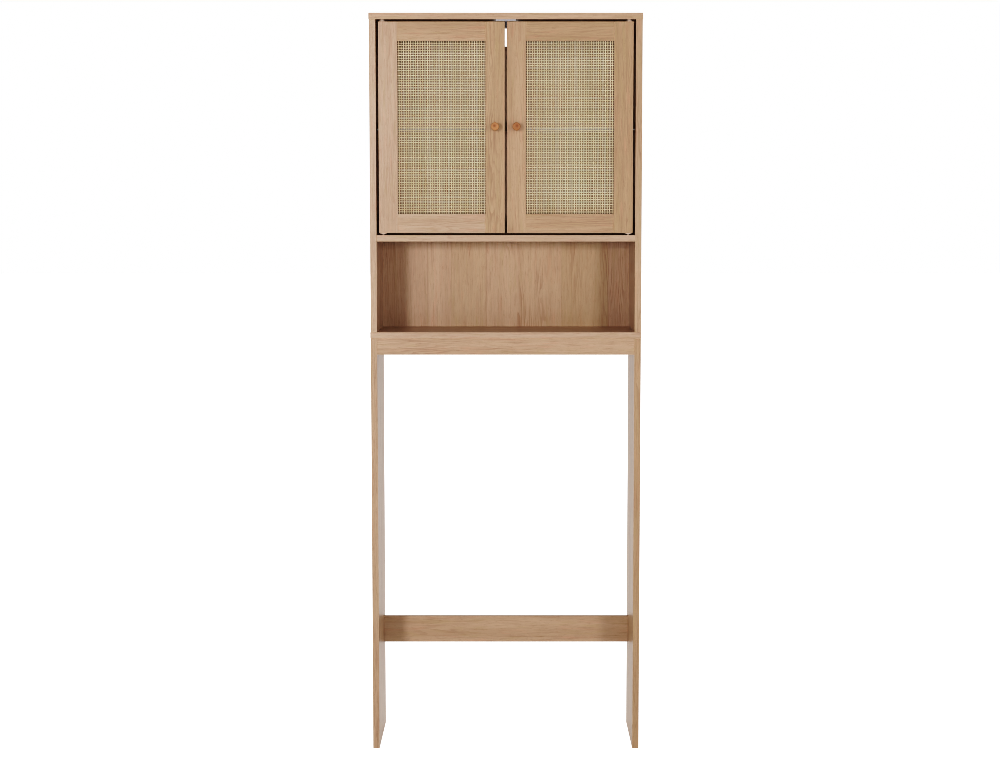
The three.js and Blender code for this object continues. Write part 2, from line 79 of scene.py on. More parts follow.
CAMERA_ASIDE = 0.0075  # to the right of the rack's middle
CAMERA_DISTANCE = 4.2  # from the front edges of the rack
CAMERA_HEIGHT = 1.3
CAMERA_PITCH = math.radians(4.6)  # looking slightly down
CAMERA_LENS = 64.17  # in millimetres, as is the sensor
SENSOR_WIDTH = 36.0
CAMERA_SHIFT = (-0.009, -0.0335)

camera_data = bpy.data.cameras.new("camera")
camera_data.lens = CAMERA_LENS
camera_data.sensor_width = SENSOR_WIDTH
camera_data.shift_x, camera_data.shift_y = CAMERA_SHIFT
camera = bpy.data.objects.new("camera", camera_data)
camera.location = (CAMERA_ASIDE, front_edge - CAMERA_DISTANCE, CAMERA_HEIGHT)
camera.rotation_euler = (math.pi / 2 - CAMERA_PITCH, 0.0, 0.0)
scene.collection.objects.link(camera)
scene.camera = camera
scene.cycles.denoising_prefilter = "NONE"  # otherwise the fine weave is smoothed away
scene.cycles.filter_width = 0.7  # crisp edges


def add(tree, kind, inputs=None, **settings):
    """Adds a node, sets its properties, and sets or links its inputs."""
    made = tree.nodes.new("ShaderNode" + kind)
    for name, value in settings.items():
        setattr(made, name, value)
    for name, value in (inputs or {}).items():
        if isinstance(value, bpy.types.NodeSocket):
            tree.links.new(value, made.inputs[name])
        else:
            made.inputs[name].default_value = value
    return made


def maths(tree, operation, *values):
    """The result of one sum on plain numbers or node outputs."""
    return add(tree, "Math", dict(enumerate(values)), operation=operation).outputs[0]


FRONT_AMBIENT = 0.24  # light thrown on the rack from the camera's side of the room
REAR_AMBIENT = 0.72  # and from the white wall behind it
TURNOVER = 0.3  # how slowly the one changes into the other
MIRRORED = 0.88  # how bright the room looks in reflections
SURROUND = 1.0  # and straight to the eye
WHITE = (1, 1, 1, 1)

world = bpy.data.worlds.new("studio")
world.use_nodes = True
room = world.node_tree
room.nodes.clear()
heading = add(room, "SeparateXYZ", {0: add(room, "TexCoord").outputs["Generated"]})
thrown = add(
    room,
    "MapRange",
    {"Value": heading.outputs["Y"], "From Min": -TURNOVER, "From Max": TURNOVER,
     "To Min": FRONT_AMBIENT, "To Max": REAR_AMBIENT},
)
ray = add(room, "LightPath")
bounced = add(
    room, "Mix", {0: ray.outputs["Is Diffuse Ray"], 2: MIRRORED, 3: thrown.outputs["Result"]},
    data_type="FLOAT",
)
brightness = add(
    room, "Mix", {0: ray.outputs["Is Camera Ray"], 2: bounced.outputs[0], 3: SURROUND},
    data_type="FLOAT",
)
sky = add(room, "Background", {"Color": WHITE, "Strength": brightness.outputs[0]})
add(room, "OutputWorld", {"Surface": sky.outputs[0]})
scene.world = world

LIGHT_DISTANCE = 8.0  # far off, so that top and feet are lit alike
LIGHT_HEIGHT = 1.75


def softbox(name, aside, size, power):
    """A soft light in front of the rack, aimed level at it."""
    lamp = bpy.data.lights.new(name, "AREA")
    lamp.shape = "RECTANGLE"
    lamp.size, lamp.size_y = size
    lamp.energy = power
    holder = bpy.data.objects.new(name, lamp)
    place = Vector((aside, -LIGHT_DISTANCE, LIGHT_HEIGHT))
    holder.location = place
    aim = Vector((0.0, front_edge, LIGHT_HEIGHT)) - place
    holder.rotation_euler = aim.to_track_quat("-Z", "Y").to_euler()
    scene.collection.objects.link(holder)


softbox("key_light", aside=-2.75, size=(0.85, 1.0), power=208)
softbox("fill_light", aside=3.3, size=(1.1, 1.0), power=137)

FLOOR_SIZE = 60.0
FLOOR_GAP = 0.0002  # between the floor and the feet
FLOOR_WHITE = (0.9, 0.9, 0.9, 1)
FLOOR_GLOW = 0.86  # lifts the floor to the white of the surroundings, to the eye
FLOOR_SHEEN = 0.45  # and less so in reflections

floor_mesh = bpy.data.meshes.new("floor")
half = FLOOR_SIZE / 2
floor_mesh.from_pydata(
    [(-half, -half, 0), (half, -half, 0), (half, half, 0), (-half, half, 0)], [], [(0, 1, 2, 3)]
)
floor = bpy.data.objects.new("floor", floor_mesh)
floor.location.z = floor_level - FLOOR_GAP
scene.collection.objects.link(floor)

pale = bpy.data.materials.new("pale_floor")
pale.use_nodes = True
pale_shader = pale.node_tree.nodes["Principled BSDF"]
pale_shader.inputs["Base Color"].default_value = FLOOR_WHITE
pale_shader.inputs["Roughness"].default_value = 0.9
pale_shader.inputs["Specular IOR Level"].default_value = 0.1
pale_shader.inputs["Emission Color"].default_value = WHITE
floor_path = add(pale.node_tree, "LightPath")
sheen = maths(pale.node_tree, "MULTIPLY", floor_path.outputs["Is Glossy Ray"], FLOOR_SHEEN)
glow = maths(
    pale.node_tree, "MULTIPLY_ADD", floor_path.outputs["Is Camera Ray"], FLOOR_GLOW, sheen
)
pale.node_tree.links.new(glow, pale_shader.inputs["Emission Strength"])
floor_mesh.materials.append(pale)

# ---------------------------------------------------------------------------
# Oak boards. Particle board with a printed light oak face and matching edge strips: fine
# straight fibres, broad pale and pinkish bands, and here and there a darker growth line.
# ---------------------------------------------------------------------------


def colour(red, green, blue):
    """A colour as it looks on screen, 0 to 255, turned into light by the usual screen curve."""
    levels = [c / 255 for c in (red, green, blue)]
    return tuple(c / 12.92 if c < 0.04045 else ((c + 0.055) / 1.055) ** 2.4 for c in levels) + (1,)


def new_group(name, inputs, outputs):
    """An empty node group with named sockets. Returns it with its two end nodes."""
    group = bpy.data.node_groups.new(name, "ShaderNodeTree")
    for label, kind, value in inputs:
        socket = group.interface.new_socket(
            label, in_out="INPUT", socket_type="NodeSocket" + kind
        )
        if value is not None:
            socket.default_value = value
    for label, kind in outputs:
        group.interface.new_socket(label, in_out="OUTPUT", socket_type="NodeSocket" + kind)
    return group, group.nodes.new("NodeGroupInput").outputs, group.nodes.new("NodeGroupOutput")


def stretched(tree, vector, across, along, seed, detail=2.0, roughness=0.5, distortion=0.0):
    """Noise drawn out along the grain, which runs along Z. Sizes are in metres."""
    shrink = (1 / across, 1 / across, 1 / along)
    sized = add(tree, "VectorMath", {0: vector, 1: shrink}, operation="MULTIPLY")
    noise = add(
        tree,
        "TexNoise",
        {
            "Vector": sized.outputs[0],
            "W": seed,
            "Scale": 1.0,
            "Detail": detail,
            "Roughness": roughness,
            "Distortion": distortion,
        },
        noise_dimensions="4D",
    )
    return noise.outputs["Fac"]


def remap(tree, value, from_low, from_high, to_low=0.0, to_high=1.0, smooth=True):
    """Carries one range of a value over to another."""
    kind = "SMOOTHSTEP" if smooth else "LINEAR"
    limits = {"From Min": from_low, "From Max": from_high, "To Min": to_low, "To Max": to_high}
    made = add(tree, "MapRange", {"Value": value, **limits}, interpolation_type=kind)
    return made.outputs["Result"]


def mix_colour(tree, amount, a, b, blend="MIX"):
    """Blends colour b over colour a by an amount from 0 to 1."""
    inputs = {0: amount, 6: a, 7: b}
    return add(tree, "Mix", inputs, data_type="RGBA", blend_type=blend).outputs[2]


# The printed oak: colours, streaks and pores from a place in metres, grain along Z.
oak_print, oak_in, oak_out = new_group(
    "oak_print",
    [
        ("Place", "Vector", None),
        ("Board Number", "Float", 0.0),
        ("Body Colour", "Color", colour(190, 158, 128)),
        ("Pale Colour", "Color", colour(205, 176, 146)),
        ("Streak Colour", "Color", colour(160, 116, 86)),
        ("Figure", "Float", 0.5),
        ("Planks", "Float", 0.3),
    ],
    [("Color", "Color"), ("Roughness", "Float"), ("Height", "Float")],
)


def grain(across, along, **character):
    """One of the oak print's own noises, sized in metres across and along the grain."""
    number = oak_in["Board Number"]
    return stretched(oak_print, oak_in["Place"], across, along, number, **character)


def times(first, *others):
    """Several values of the oak print multiplied together."""
    product = first
    for value in others:
        product = maths(oak_print, "MULTIPLY", product, value)
    return product


def tinted(tone, tint, *masks):
    """Lays a tint over the print's tone, as strong as its masks multiplied together."""
    return mix_colour(oak_print, times(*masks), tone, tint)


# Broad bands a few centimetres wide, finer streaks and flecks within them, hair-fine fibres.
bands = grain(0.022, 0.45, detail=3.0, roughness=0.55)
narrow = grain(0.0032, 0.07, detail=5.0, roughness=0.7, distortion=0.6)
flecks = grain(0.0034, 0.02, detail=4.0, roughness=0.7)
fibres = grain(0.0009, 0.02, detail=3.0, roughness=0.7)

# Growth rings round a heart that lies behind the board and leans away along the grain.
HEART_LEAN = 0.05
HEART_DEPTH = 0.05
RING_WIDTH = 0.0062
RING_WANDER = 0.1  # how far a ring strays sideways in slow bends
RING_JITTER = 0.0022  # and in short ones
wobble = grain(0.045, 0.4, detail=3.0)
ragged = grain(0.006, 0.03)
sideways = maths(oak_print, "MULTIPLY_ADD", ragged, RING_JITTER, times(wobble, RING_WANDER))
drift = add(oak_print, "CombineXYZ", {0: sideways})
moved = add(oak_print, "VectorMath", {0: oak_in["Place"], 1: drift.outputs[0]}, operation="ADD")
split = add(oak_print, "SeparateXYZ", {0: moved.outputs[0]})
heart = maths(oak_print, "MULTIPLY_ADD", split.outputs["Z"], HEART_LEAN, split.outputs["Y"])
heart = maths(oak_print, "ADD", heart, HEART_DEPTH)
rings = add(oak_print, "CombineXYZ", {0: split.outputs["X"], 1: heart})
radius = add(oak_print, "VectorMath", {0: rings.outputs[0]}, operation="LENGTH")
ring_count = maths(oak_print, "DIVIDE", radius.outputs["Value"], RING_WIDTH)
phase = maths(oak_print, "FRACT", ring_count)
late_wood = remap(oak_print, phase, 0.35, 0.9)
early_edge = remap(oak_print, phase, 0.9, 1.0, 1.0, 0.0)
patchy = remap(oak_print, grain(0.05, 0.3), 0.45, 0.68)
figure = times(late_wood, early_edge, patchy, oak_in["Figure"])

# Staves printed side by side: each has its own tone, with a dark line between some.
STAVE_WIDTH = 0.085
STAVE_STEP = 3.7  # staves from one board's print to the next one's
SEAM_SHARE = 0.5
sideways_place = add(oak_print, "SeparateXYZ", {0: oak_in["Place"]}).outputs["X"]
stave_count = maths(oak_print, "DIVIDE", sideways_place, STAVE_WIDTH)
stave_at = maths(oak_print, "MULTIPLY_ADD", oak_in["Board Number"], STAVE_STEP, stave_count)
stave = add(oak_print, "TexVoronoi", {"W": stave_at, "Scale": 1.0}, voronoi_dimensions="1D")
stave_tone = add(oak_print, "SeparateColor", {0: stave.outputs["Color"]})
seam = add(
    oak_print, "TexVoronoi", {"W": stave_at, "Scale": 1.0}, voronoi_dimensions="1D",
    feature="DISTANCE_TO_EDGE",
)
seam_line = remap(oak_print, seam.outputs["Distance"], 0.0, 0.03, 1.0, 0.0)
seam_fade = remap(oak_print, bands, 0.45, 0.6, 0.1, 0.9)
seams = times(seam_line, seam_fade, times(oak_in["Planks"], SEAM_SHARE))

# Checks: a few short dark cracks that follow the grain, only in the boards with staves.
cracks = grain(0.0055, 0.06, detail=3.0, roughness=0.65, distortion=0.5)
crack_mask = times(remap(oak_print, cracks, 0.71, 0.78), oak_in["Planks"])

# Rosy and olive casts that drift along the grain.
casts = grain(0.012, 0.09, detail=3.0, roughness=0.6, distortion=0.4)
rosy = remap(oak_print, casts, 0.52, 0.72)
olive = remap(oak_print, casts, 0.48, 0.3)

# Pores: short dark dashes.
pores = remap(oak_print, grain(0.00045, 0.006, detail=1.0), 0.64, 0.72)

PINK = colour(206, 152, 128)
OLIVE = colour(178, 154, 112)
CRACK_BROWN = colour(118, 76, 52)
CAST_SHARE = 0.32
STAVE_SHADE_SHARE = 0.22
STAVE_OLIVE_SHARE = 0.55
STREAK_SHARE = 0.42
CRACK_SHARE = 0.75
FLECK_SHARE = 0.38
PORE_SHARE = 0.4
STREAK = oak_in["Streak Colour"]

broad = remap(oak_print, bands, 0.33, 0.67)
tone = mix_colour(oak_print, broad, oak_in["Body Colour"], oak_in["Pale Colour"])
tone = tinted(tone, PINK, rosy, CAST_SHARE)
tone = tinted(tone, OLIVE, olive, CAST_SHARE)
tone = tinted(tone, STREAK, stave_tone.outputs["Red"], oak_in["Planks"], STAVE_SHADE_SHARE)
tone = tinted(tone, OLIVE, stave_tone.outputs["Green"], oak_in["Planks"], STAVE_OLIVE_SHARE)
tone = tinted(tone, STREAK, remap(oak_print, narrow, 0.45, 0.72), STREAK_SHARE)
tone = tinted(tone, STREAK, figure)
tone = tinted(tone, STREAK, seams)
tone = tinted(tone, CRACK_BROWN, crack_mask, CRACK_SHARE)
tone = tinted(tone, STREAK, remap(oak_print, flecks, 0.54, 0.72), FLECK_SHARE)
fibre_shade = remap(oak_print, fibres, 0.25, 0.75, 0.9, 1.08, smooth=False)
shade = add(oak_print, "CombineColor", {0: fibre_shade, 1: fibre_shade, 2: fibre_shade})
tone = mix_colour(oak_print, 1.0, tone, shade.outputs[0], "MULTIPLY")
tone = tinted(tone, STREAK, pores, PORE_SHARE)
oak_print.links.new(tone, oak_out.inputs["Color"])

SMOOTHEST = 0.28  # the print's roughness where it is glossiest
FIBRE_ROUGHNESS = 0.12
PORE_ROUGHNESS = 0.1
PORE_DEPTH = 0.6  # against the height of a fibre
gloss = maths(oak_print, "MULTIPLY_ADD", fibres, FIBRE_ROUGHNESS, SMOOTHEST)
gloss = maths(oak_print, "MULTIPLY_ADD", pores, PORE_ROUGHNESS, gloss)
oak_print.links.new(gloss, oak_out.inputs["Roughness"])
grooves = maths(oak_print, "MULTIPLY_ADD", pores, -PORE_DEPTH, fibres)
oak_print.links.new(grooves, oak_out.inputs["Height"])

# Painted edge highlight: the chamfers of a board face none of its own axes, so they stand out there,
# and they are painted lighter in uneven patches as a painted highlight.
painted_edge_highlight, highlight_in, highlight_out = new_group(
    "painted_edge_highlight",
    [
        ("Color", "Color", None),
        ("Highlight Colour", "Color", colour(222, 196, 168)),
        ("Amount", "Float", 0.6),
    ],
    [("Color", "Color")],
)
HIGHLIGHT_NOISE_SCALE = 90.0
highlight_place = add(painted_edge_highlight, "TexCoord").outputs
faces = add(painted_edge_highlight, "VectorMath", {0: highlight_place["Normal"]}, operation="ABSOLUTE").outputs[0]
sides = add(painted_edge_highlight, "SeparateXYZ", {0: faces})
largest = maths(painted_edge_highlight, "MAXIMUM", sides.outputs[0], sides.outputs[1])
largest = maths(painted_edge_highlight, "MAXIMUM", largest, sides.outputs[2])
chamfer = remap(painted_edge_highlight, largest, 0.9, 0.75)
highlight_noise = add(
    painted_edge_highlight, "TexNoise", {"Vector": highlight_place["Object"], "Scale": HIGHLIGHT_NOISE_SCALE, "Detail": 3.0}
).outputs["Fac"]
uneven = remap(painted_edge_highlight, highlight_noise, 0.3, 0.6, 0.45, 1.0)
highlight_strength = maths(painted_edge_highlight, "MULTIPLY", chamfer, uneven)
highlight_strength = maths(painted_edge_highlight, "MULTIPLY", highlight_strength, highlight_in["Amount"])
highlighted_tone = mix_colour(painted_edge_highlight, highlight_strength, highlight_in["Color"], highlight_in["Highlight Colour"])
painted_edge_highlight.links.new(highlighted_tone, highlight_out.inputs["Color"])

GRAIN_TURNS = {  # turns that bring a board's grain onto Z
    "x": (0.0, math.pi / 2, 0.0),
    "y": (math.pi / 2, 0.0, 0.0),
    "z": (0.0, 0.0, 0.0),
}
PRINT_STEP = (0.37, 0.0031, 1.7)  # from one board's place in the print to the next one's
BUMP_DEPTH = 0.00012


def material(name):
    """A new material, with its node tree and its shader."""
    made = bpy.data.materials.new(name)
    made.use_nodes = True
    tree = made.node_tree
    return made, tree, tree.nodes["Principled BSDF"]


def roughen(tree, shader, height, strength, depth):
    """Raises the surface by a height that changes over it."""
    bump = add(tree, "Bump", {"Height": height, "Strength": strength, "Distance": depth})
    tree.links.new(bump.outputs[0], shader.inputs["Normal"])


def oak(name, direction, number, body, pale_tone, streak, figured, planks):
    """A printed oak for one board, with its grain along x, y or z."""
    made, tree, shader = material("oak_" + name)
    place = add(
        tree,
        "Mapping",
        {
            "Vector": add(tree, "TexCoord").outputs["Object"],
            "Location": [number * step for step in PRINT_STEP],
            "Rotation": GRAIN_TURNS[direction],
        },
    )
    print_values = {
        "Place": place.outputs[0],
        "Board Number": number,
        "Body Colour": body,
        "Pale Colour": pale_tone,
        "Streak Colour": streak,
        "Figure": figured,
        "Planks": planks,
    }
    printed = add(tree, "Group", print_values, node_tree=oak_print).outputs
    # a painted highlight on the board's chamfers
    with_highlight = add(tree, "Group", {"Color": printed["Color"]}, node_tree=painted_edge_highlight).outputs
    tree.links.new(with_highlight["Color"], shader.inputs["Base Color"])
    tree.links.new(printed["Roughness"], shader.inputs["Roughness"])
    roughen(tree, shader, printed["Height"], 0.5, BUMP_DEPTH)
    return made


def coat(node, finish):
    """Gives a CAD piece its one finish."""
    nodes[node].data.materials.clear()
    nodes[node].data.materials.append(finish)


# Body, pale and streak colours.
ROSE = (colour(188, 160, 136), colour(199, 173, 151), colour(158, 117, 94))
SAND = (colour(187, 157, 131), colour(198, 169, 144), colour(148, 109, 84))
GOLD = (colour(180, 149, 121), colour(192, 162, 134), colour(148, 107, 79))
HONEY = (colour(173, 142, 112), colour(185, 155, 125), colour(142, 101, 74))
# the lightest tone: it lifts the back panel as painted light against the shade of the niche
PANEL = (colour(194, 162, 138), colour(205, 175, 151), colour(154, 110, 84))

# The tones are partly each board's own and partly painted light: left-hand boards take the same or
# lighter, pinker tones than their right-hand partners, as painted light from the left.
BOARDS = {  # node: (grain, board number, tones, figure, planks)
    "top_board": ("x", 1, SAND, 0.3, 0.0),
    "cabinet_floor": ("x", 2, ROSE, 0.3, 0.0),
    "inner_shelf": ("x", 3, SAND, 0.4, 0.3),
    "bottom_board": ("x", 4, ROSE, 0.3, 0.0),
    "back_panel": ("z", 5, PANEL, 0.65, 1.0),
    "front_apron": ("x", 6, SAND, 0.5, 0.2),
    "rear_crossbar": ("x", 7, SAND, 0.4, 0.2),
    "left_side_panel": ("z", 8, ROSE, 0.5, 0.4),
    "right_side_panel": ("z", 9, SAND, 0.5, 0.4),
    "left_leg": ("z", 10, SAND, 0.5, 0.4),
    "right_leg": ("z", 11, GOLD, 0.5, 0.4),
    "left_hinge_stile": ("z", 12, ROSE, 0.3, 0.3),
    "left_latch_stile": ("z", 13, GOLD, 0.5, 0.4),
    "left_top_rail": ("x", 14, GOLD, 0.3, 0.2),
    "left_bottom_rail": ("x", 15, ROSE, 0.3, 0.2),
    "right_latch_stile": ("z", 16, GOLD, 0.4, 0.3),
    "right_hinge_stile": ("z", 17, HONEY, 0.3, 0.3),
    "right_top_rail": ("x", 18, HONEY, 0.2, 0.2),
    "right_bottom_rail": ("x", 19, GOLD, 1.0, 0.3),
}

for node, (direction, number, tones, figured, planks) in BOARDS.items():
    coat(node, oak(node, direction, number, *tones, figured, planks))

# ---------------------------------------------------------------------------
# Cane webbing. Flat strips peeled from rattan, woven square: every strip passes over one
# crossing strip and under the next. The sheet is trapped in the rebate behind each opening.
# ---------------------------------------------------------------------------

SIDES = ("left", "right")
UPRIGHT_PITCH = 0.00552
CROSSWISE_PITCH = 0.00578
STRIP_WIDTH = 0.0024
STRIP_WIDTH_SPREAD = (0.88, 1.1)
STRIP_THICKNESS = 0.0006
STRIP_EDGE = 0.4  # how thick a strip's edges are, against its middle
STRIP_BACK = 0.6  # how wide the flat of its back is, against the whole strip
STRIP_FACE = 0.55  # and of its face
WEAVE_DEPTH = 0.00042  # how far a strip rises and dips from the middle of the sheet
CROWN = 0.00016  # how much rounder the outer face of a strip is at its middle
TUCK = 0.005  # how far the strips run in behind the wood
REBATE = 0.007  # how far the CAD panel does
BEND = 0.2  # from the middle of a crossing to where the strip bends, in pitches
STRAY = 0.0003  # how far a strip lies off its line
SWAY = 0.00025  # and how far it snakes
SWAY_TURNS = 25  # radians in a metre


def strip_outline(width):
    """Corner offsets round a strip's section: (across, outwards), a crowned flat oval."""
    side, thick = width / 2, STRIP_THICKNESS / 2
    return [
        (-side, -thick * STRIP_EDGE),
        (-side * STRIP_BACK, -thick),
        (side * STRIP_BACK, -thick),
        (side, -thick * STRIP_EDGE),
        (side * STRIP_FACE, thick),
        (0.0, thick + CROWN),
        (-side * STRIP_FACE, thick),
    ]


def weave_strip(mesh, tones, path, width, tone):
    """Sweeps the strip's section along a path of (place, across, outward) frames."""
    outline = strip_outline(width)
    rings = []
    for place, across, outward in path:
        ring = [mesh.verts.new(place + across * a + outward * o) for a, o in outline]
        for vertex in ring:
            vertex[tones] = tone
        rings.append(ring)
    for near, far in zip(rings, rings[1:]):
        for i in range(len(outline)):
            j = (i + 1) % len(outline)
            face = mesh.faces.new((near[i], near[j], far[j], far[i]))
            face.smooth = True
    mesh.faces.new(reversed(rings[0]))
    mesh.faces.new(rings[-1])


def strip_lines(start, end, pitch):
    """Middle lines of as many strips as fit between two edges, with equal margins."""
    count = int((end - start) / pitch)
    margin = (end - start - count * pitch) / 2
    return [start + margin + (i + 0.5) * pitch for i in range(count)]


def finished(mesh, name):
    """Turns a mesh that is done into an object in the scene."""
    data = bpy.data.meshes.new(name)
    mesh.to_mesh(data)
    mesh.free()
    piece = bpy.data.objects.new(name, data)
    scene.collection.objects.link(piece)
    return piece


def cane_sheet(name, node, chance):
    """A woven sheet filling the place of one CAD cane panel."""
    sheet_low, sheet_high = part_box(node)
    inset = REBATE - TUCK
    x0, x1 = sheet_low.x + inset, sheet_high.x - inset
    z0, z1 = sheet_low.z + inset, sheet_high.z - inset
    y = (sheet_low.y + sheet_high.y) / 2
    mesh = bmesh.new()
    tones = mesh.verts.layers.float.new("strip_tone")
    outward = Vector((0, -1, 0))
    xs = strip_lines(x0, x1, UPRIGHT_PITCH)
    zs = strip_lines(z0, z1, CROSSWISE_PITCH)
    for upright in (True, False):
        lines, crossings = (xs, zs) if upright else (zs, xs)
        pitch = CROSSWISE_PITCH if upright else UPRIGHT_PITCH
        start, end = (z0, z1) if upright else (x0, x1)
        for i, line in enumerate(lines):
            width = STRIP_WIDTH * chance.uniform(*STRIP_WIDTH_SPREAD)
            tone = chance.random()
            stray = chance.uniform(-STRAY, STRAY)
            sway = chance.uniform(0.0, SWAY)
            turn = chance.uniform(0, 2 * math.pi)
            stops = [(start, 0.0)]
            for j, crossing in enumerate(crossings):
                side = 1 if (i + j) % 2 == (0 if upright else 1) else -1
                stops += [(crossing - pitch * BEND, side), (crossing + pitch * BEND, side)]
            stops.append((end, 0.0))
            path = []
            for along, side in stops:
                off = line + stray + sway * math.sin(turn + along * SWAY_TURNS)
                rise = outward * (side * WEAVE_DEPTH)
                if upright:
                    place, across = Vector((off, y, along)), Vector((1, 0, 0))
                else:
                    place, across = Vector((along, y, off)), Vector((0, 0, -1))
                path.append((place + rise, across, outward))
            weave_strip(mesh, tones, path, width, tone)
    return finished(mesh, name)


STRAW = (colour(232, 211, 178), colour(247, 231, 205))
TAN = colour(212, 166, 118)
DUSK = colour(166, 140, 96)
TAN_SHARE = 0.5
DUSK_SHARE = 0.3
PATCH_SCALE = 34.0
MOTTLE_SCALE = 420.0

cane, cane_tree, cane_shader = material("cane_strip")
strip_tone = add(cane_tree, "Attribute", attribute_name="strip_tone").outputs["Fac"]
cane_place = add(cane_tree, "TexCoord").outputs["Object"]
cane_patches = add(
    cane_tree,
    "TexNoise",
    {"Vector": cane_place, "W": strip_tone, "Scale": PATCH_SCALE, "Detail": 4.0, "Roughness": 0.7},
    noise_dimensions="4D",
).outputs["Fac"]
cane_mottle = add(
    cane_tree,
    "TexNoise",
    {"Vector": cane_place, "Scale": MOTTLE_SCALE, "Detail": 2.0, "Roughness": 0.5},
).outputs["Fac"]
straw = mix_colour(cane_tree, remap(cane_tree, strip_tone, 0.1, 0.9), *STRAW)
tan = maths(cane_tree, "MULTIPLY", remap(cane_tree, cane_patches, 0.5, 0.75), TAN_SHARE)
straw = mix_colour(cane_tree, tan, straw, TAN)
dusk = maths(cane_tree, "MULTIPLY", remap(cane_tree, cane_mottle, 0.5, 0.75), DUSK_SHARE)
straw = mix_colour(cane_tree, dusk, straw, DUSK)
cane_tree.links.new(straw, cane_shader.inputs["Base Color"])
cane_gloss = remap(cane_tree, cane_patches, 0.3, 0.7, 0.42, 0.6)
cane_tree.links.new(cane_gloss, cane_shader.inputs["Roughness"])
roughen(cane_tree, cane_shader, cane_mottle, 0.4, 0.0002)

weaver = random.Random(7)
for side in SIDES:
    sheet = cane_sheet(side + "_cane_webbing", side + "_cane_panel", weaver)
    sheet.data.materials.append(cane)
    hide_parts(side + "_cane_panel")
    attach(sheet, side + "_door")

# ---------------------------------------------------------------------------
# Cane beads. Quarter-round oak strips, mitred at the corners and pinned into the rebate on
# the inside of each door, where they press the webbing against the lip.
# ---------------------------------------------------------------------------

BEAD_WIDTH = 0.007
BEAD_FLAT = 0.35  # share of the width that stays flat at the back
BEAD_EDGE = 0.3  # share of the depth that the thin edge keeps
BEAD_CURVE_STEPS = 6


def bead_profile(depth):
    """(inwards from the outer edge, towards the back) round one strip."""
    points = [(0.0, 0.0), (0.0, depth)]
    for step in range(BEAD_CURVE_STEPS + 1):
        turn = math.pi / 2 * (1 - step / BEAD_CURVE_STEPS)
        across = BEAD_WIDTH * (BEAD_FLAT + (1 - BEAD_FLAT) * math.cos(turn))
        points.append((across, depth * (BEAD_EDGE + (1 - BEAD_EDGE) * math.sin(turn))))
    points.append((BEAD_WIDTH, 0.0))
    return points


def mitred_bead(name, node):
    """Four strips round one opening. Level strips take the first material, upright the second."""
    bead_low, bead_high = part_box(node)
    profile = bead_profile(bead_high.y - bead_low.y)
    mesh = bmesh.new()
    corners = ((0, 0, 1, 1), (1, 0, -1, 1), (1, 1, -1, -1), (0, 1, 1, -1))
    rings = []
    for right, top, in_x, in_z in corners:
        x = bead_high.x if right else bead_low.x
        z = bead_high.z if top else bead_low.z
        rings.append([(x + in_x * a, bead_low.y + d, z + in_z * a) for a, d in profile])
    count = len(profile)
    for i, ring in enumerate(rings):
        next_ring = rings[(i + 1) % len(rings)]
        near = [mesh.verts.new(point) for point in ring]
        far = [mesh.verts.new(point) for point in next_ring]
        for j in range(count):
            k = (j + 1) % count
            face = mesh.faces.new((near[j], near[k], far[k], far[j]))
            face.material_index = i % 2
            face.smooth = 2 <= j < count - 2
        for end in (near[::-1], far):
            mesh.faces.new(end).material_index = i % 2
    bmesh.ops.recalc_face_normals(mesh, faces=mesh.faces)
    return finished(mesh, name)


level_bead = oak("bead_level", "x", 20, *SAND, 0.3, 0.0)
upright_bead = oak("bead_upright", "z", 21, *SAND, 0.3, 0.0)
for side in SIDES:
    bead = mitred_bead(side + "_mitred_bead", side + "_cane_bead")
    bead.data.materials.append(level_bead)
    bead.data.materials.append(upright_bead)
    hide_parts(side + "_cane_bead")
    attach(bead, side + "_door")

# ---------------------------------------------------------------------------
# Knobs. Turned from a reddish hardwood and oiled, with the end grain on the dished face.
# Each is drawn up against the stile by a screw from behind. The right one is coloured darker.
# ---------------------------------------------------------------------------

TURNING_STEPS = 64
SHARP_ANGLE = math.radians(40)


def turned_piece(name, profile, centre, axis):
    """A body of revolution: profile is (distance along the axis, radius), closed on the axis."""
    mesh = bmesh.new()
    turns = [2 * math.pi * i / TURNING_STEPS for i in range(TURNING_STEPS)]
    rings = []
    for along, reach in profile:
        if reach == 0:
            rings.append([mesh.verts.new((0, 0, along))])
            continue
        points = [(reach * math.cos(t), reach * math.sin(t), along) for t in turns]
        rings.append([mesh.verts.new(point) for point in points])
    for near, far in zip(rings, rings[1:]):
        for i in range(TURNING_STEPS):
            j = (i + 1) % TURNING_STEPS
            if len(near) == 1:
                corners = (near[0], far[j], far[i])
            elif len(far) == 1:
                corners = (near[i], near[j], far[0])
            else:
                corners = (near[i], near[j], far[j], far[i])
            mesh.faces.new(corners).smooth = True
    bmesh.ops.recalc_face_normals(mesh, faces=mesh.faces)
    turn = Vector((0, 0, 1)).rotation_difference(Vector(axis)).to_matrix().to_4x4()
    bmesh.ops.transform(mesh, matrix=Matrix.Translation(centre) @ turn, verts=mesh.verts)
    piece = finished(mesh, name)
    piece.data.set_sharp_from_angle(angle=SHARP_ANGLE)
    return piece


FOOT_SHARE = 0.72  # of the knob's radius
FOOT_BREAK = 0.0003  # the foot's broken edge
WAIST = 0.22  # the flare starts this far up the knob
FLARE = 0.36  # and is this long, both as shares of its length
FLARE_STEPS = 12
RIM_RADIUS = 0.0023
RIM_STEPS = 8
DISH_SHARE = 0.66  # of the knob's radius
DISH_DEPTH = 0.0008
DISH_STEPS = 8


